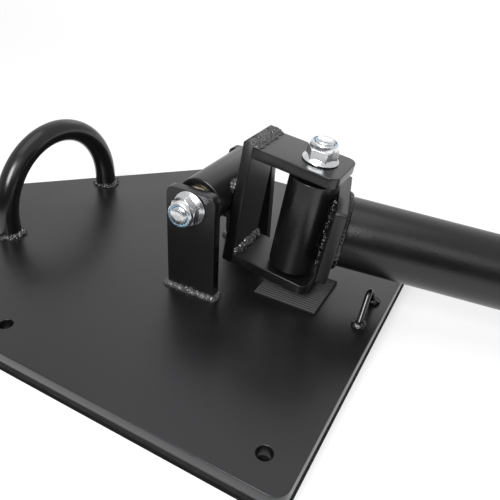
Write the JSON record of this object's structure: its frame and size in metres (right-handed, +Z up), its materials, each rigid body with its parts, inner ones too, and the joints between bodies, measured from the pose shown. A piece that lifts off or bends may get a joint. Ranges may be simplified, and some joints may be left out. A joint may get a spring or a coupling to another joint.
{
  "type": "barbell pivot base plate",
  "caption": "Weighted floor plate with a pointed tail, a carrying loop and a tilting, swivelling open barrel that takes the end of a barbell.",
  "frame": {"origin": "on the floor, straight below the middle of the level pivot bolt", "axes": "+X the way the barrel points from the pivot, +Y along the level pivot bolt to the far side, +Z up"},
  "size_m": [0.6283, 0.414, 0.1755],
  "materials": {
    "powder_coat": "satin black powder coat with fine orange peel",
    "barrel_coat": "satin black powder coat, a little smoother",
    "coated_weld": "rough weld beads under the black coat",
    "zinc_steel": "bright zinc plating",
    "blue_nylon": "matt blue nylon",
    "bush_bronze": "plain sintered bronze",
    "mat_rubber": "matt black rubber sheet",
    "pad_rubber": "ribbed dark grey rubber"
  },
  "bodies": {
    "base": {"floor_mat": "mat_rubber", "base_plate": "powder_coat", "carry_loop": "powder_coat", "loop_weld_near": "coated_weld", "loop_weld_far": "coated_weld", "anchor_eyelet": "powder_coat", "eyelet_weld_near": "coated_weld", "eyelet_weld_far": "coated_weld", "upright_near": "powder_coat", "upright_far": "powder_coat", "upright_weld_near": "coated_weld", "upright_weld_far": "coated_weld", "bump_pad": "pad_rubber", "pivot_bolt": "zinc_steel", "pivot_washer": "zinc_steel", "pivot_nut": "zinc_steel", "pivot_nut_insert": "blue_nylon"},
    "bracket": {"pivot_tube": "powder_coat", "pivot_bush_near": "bush_bronze", "pivot_bush_far": "bush_bronze", "pivot_tube_weld_upper": "coated_weld", "pivot_tube_weld_lower": "coated_weld", "bracket_back_plate": "powder_coat", "bracket_top_plate": "powder_coat", "bracket_bottom_plate": "powder_coat", "bracket_weld_top": "coated_weld", "bracket_weld_bottom": "coated_weld", "swivel_bolt": "zinc_steel", "swivel_nut": "zinc_steel", "swivel_nut_insert": "blue_nylon"},
    "barrel": {"swivel_tube": "powder_coat", "swivel_bush_lower": "bush_bronze", "swivel_bush_upper": "bush_bronze", "swivel_plate": "powder_coat", "swivel_weld_near": "coated_weld", "swivel_weld_far": "coated_weld", "barrel_tube": "barrel_coat", "barrel_weld": "coated_weld"}
  },
  "joints": [
    {"name": "bracket_tilt", "type": "hinge", "parent": "base", "child": "bracket", "pos_m": [0, 0, 0.1091], "axis": [0, -1, 0], "range_deg": [0, 170]},
    {"name": "barrel_swivel", "type": "hinge", "parent": "bracket", "child": "barrel", "pos_m": [0.0827, 0, 0.09758], "axis": [0.138, 0, 0.9904], "range_deg": [-116.6, 83.4]}
  ]
}
